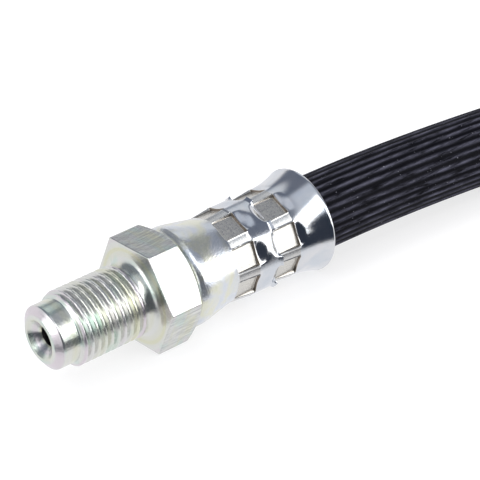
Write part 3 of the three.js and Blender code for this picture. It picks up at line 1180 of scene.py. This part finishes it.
@dataclass(frozen=True)
class SoftBox:
    """A lamp that faces the front fitting.

    Azimuth is degrees round from the front and elevation degrees above the horizon. The size is
    width and height in metres, a radiance of 1 is white, and the roll tips it by degrees with its
    hose side upwards.
    """

    name: str
    azimuth: float
    elevation: float
    size: Pair
    radiance: float
    roll: float = 0.0
    reflected: bool = True

    def build(self, centre: Vector, distance: float) -> Object:
        """Adds the lamp.

        Args:
            centre: the point that it faces, in metres.
            distance: how far from there it stands, in metres.

        Returns:
            The lamp.
        """
        toward = direction(radians(self.azimuth), radians(self.elevation))
        light = bpy.data.lights.new(self.name, "AREA")
        light.shape = "RECTANGLE"
        light.size, light.size_y = self.size
        light.energy = self.radiance * pi * self.size[0] * self.size[1]
        made = shown(self.name, light)
        made.location = centre + toward * distance
        made.rotation_mode = "QUATERNION"
        tip = Matrix.Rotation(radians(self.roll), 3, "Z")
        made.rotation_quaternion = toward.to_track_quat("Z", "Y") @ tip.to_quaternion()
        made.visible_glossy = self.reflected
        return made


@dataclass(frozen=True)
class Ramp:
    """A soft step over the directions of the room, which the metal shows as a soft edge.

    It rises from 0 to 1 as a direction's share along the axis goes from start to end.
    """

    axis: Triple
    start: float
    end: float


@dataclass
class Studio:
    """The white table, the soft lamps round it, the room that the metal reflects and the camera."""

    azimuth: float = radians(-36.4445)
    elevation: float = radians(28.2741)
    roll: float = radians(-5.5921)
    distance: float = 299.3603
    target: Triple = (-140.0084, 20.0744, 8.1189)
    lens: float = 172.48
    sensor_width: float = 36.0
    clip: Pair = (0.01, 20.0)
    lamps: tuple[SoftBox, ...] = (
        SoftBox("soft_box_long", 8, 40, (0.9, 0.32), 2.1, roll=-42),
        SoftBox("soft_box_right", 47, 6, (0.72, 0.4), 1.9, roll=-16),
        SoftBox("soft_box_left", -96, 14, (0.46, 0.3), 1.7),
        SoftBox("sky_panel", 150, 62, (0.8, 0.8), 1.6, reflected=False),
    )
    lamp_centre: Triple = (-0.14, 0.02, 0.007)
    lamp_distance: float = 0.7
    behind: Ramp = Ramp((0.52, 0.854, 0.0), -0.4, -0.2)
    lowered: Ramp = Ramp((0.0, 0.0, 1.0), -0.5, -0.62)
    left: Ramp = Ramp((1.0, 0.0, 0.0), -0.88, -0.93)
    raised: Ramp = Ramp((0.0, 0.0, 1.0), 0.34, 0.52)
    east: Ramp = Ramp((1.0, 0.0, 0.0), 0.48, 0.28)
    south: Ramp = Ramp((0.0, 1.0, 0.0), 0.14, -0.04)
    back: Ramp = Ramp((0.55, 0.45, 0.7), 0.935, 0.985)
    wall_dark: str = "#323844"
    wall_pale: str = "#f2f2f5"
    ceiling: str = "#6f7583"
    ceiling_window: str = "#ccd1db"
    back_panel: str = "#dcdfe4"
    fill: str = "#ececee"
    paper: str = "#f6f6f8"
    paper_glow: float = 1.12
    glow_share: float = 0.6
    floor_size: float = 2.4

    def camera(self) -> None:
        """Sets the camera at the photograph's place."""
        r = self.roll
        back = direction(self.azimuth, self.elevation)
        right = Vector((cos(self.azimuth), sin(self.azimuth), 0))
        up = back.cross(right)
        side = right * cos(r) + up * sin(r)
        top = up * cos(r) - right * sin(r)
        lens = bpy.data.cameras.new("camera")
        lens.lens = self.lens
        lens.sensor_width = self.sensor_width
        lens.clip_start, lens.clip_end = self.clip
        made = shown("camera", lens)
        at = (Vector(self.target) + back * self.distance) * MM
        made.matrix_world = Matrix.Translation(at) @ Matrix((side, top, back)).transposed().to_4x4()
        bpy.context.scene.camera = made

    def world(self) -> None:
        """The room that the metal reflects.

        The walls are dark on the camera's side, and pale behind the part, to the far left and
        below. The ceiling is grey, with a paler window over the camera and a pale panel at the
        back. Matt surfaces are lit the same from everywhere, and the camera sees white.
        """
        world = bpy.data.worlds.new("studio")
        bpy.context.scene.world = world
        world.use_nodes = True
        tree = world.node_tree
        tree.nodes.clear()
        add = partial(add_node, tree)
        way = add("TexCoord")["Generated"]
        shares = []
        edges = (self.behind, self.lowered, self.left, self.raised, self.east, self.south, self.back)
        for ramp in edges:
            along = add("VectorMath", {0: way, 1: ramp.axis}, operation="DOT_PRODUCT")["Value"]
            inputs = {"Value": along, 1: ramp.start, 2: ramp.end}
            step = add("MapRange", inputs, interpolation_type="SMOOTHSTEP")
            shares.append(step[0])
        pale, lowered, left, raised, window, south, back = shares
        for other in (lowered, left):
            pale = add("Math", {0: pale, 1: other}, operation="MAXIMUM")[0]
        window = add("Math", {0: window, 1: south}, operation="MULTIPLY")[0]
        ceiling = layered(tree, self.ceiling, ((window, self.ceiling_window), (back, self.back_panel)))
        path = add("LightPath")
        seen = layered(
            tree, self.wall_dark,
            (
                (pale, self.wall_pale), (raised, ceiling),
                (path["Is Diffuse Ray"], self.fill), (path["Is Camera Ray"], WHITE),
            ),
        )
        background = add("Background", {"Color": seen, "Strength": 1.0})
        add("OutputWorld", {"Surface": background[0]})

    def floor(self) -> None:
        """White paper on the table, which keeps a faint shadow.

        The camera sees it glow a little, so that it is as white as the backdrop. The metal doesn't
        see it and it shades nothing.
        """
        bm = bmesh.new()
        bmesh.ops.create_grid(bm, x_segments=1, y_segments=1, size=self.floor_size / 2)
        mesh = bpy.data.meshes.new("floor")
        bm.to_mesh(mesh)
        bm.free()
        made = bpy.data.materials.new("white_paper")
        made.use_nodes = True
        tree = made.node_tree
        tree.nodes.clear()
        add = partial(add_node, tree)
        paper = add("BsdfDiffuse", {"Color": linear(self.paper)})
        glow = add("Emission", {"Color": linear(WHITE), "Strength": self.paper_glow})
        path = add("LightPath")
        share = add("Math", {0: path["Is Camera Ray"], 1: self.glow_share}, operation="MULTIPLY")[0]
        both = add("MixShader", {0: share, 1: paper[0], 2: glow[0]})
        add("OutputMaterial", {"Surface": both[0]})
        mesh.materials.append(made)
        plane = shown("floor", mesh)
        plane.visible_glossy = False
        plane.visible_shadow = False

    def build(self) -> None:
        """Makes the whole studio."""
        self.camera()
        self.world()
        self.floor()
        for lamp in self.lamps:
            lamp.build(Vector(self.lamp_centre), self.lamp_distance)
        bpy.context.scene.view_settings.view_transform = "Standard"


def main() -> None:
    """Builds the studio and the five pieces."""
    logging.basicConfig(level=logging.INFO, format="%(name)s %(message)s")
    Studio().build()
    RibbedHose().build(ExtrudedRubber("ribbed_rubber"))
    MaleUnion("male_union_plated", "male_union", Slot.PLATED, FRONT).build(
        ZincPlatedBar("zinc_plated_bar_front", FRONT.origin)
    )
    CrimpedFerrule("front_ferrule_crimped", "front_ferrule", Slot.FERRULE, FRONT).build(
        CrimpedShellZinc("crimped_shell_zinc_front", FRONT.origin)
    )
    CrimpedFerrule("rear_ferrule_crimped", "rear_ferrule", Slot.FERRULE, REAR).build(
        CrimpedShellZinc("crimped_shell_zinc_rear", REAR.origin)
    )
    FemaleUnion("female_union_plated", "female_union", Slot.PLATED, REAR).build(
        ZincPlatedBar("zinc_plated_bar_rear", REAR.origin)
    )


if __name__ == "__main__":
    main()
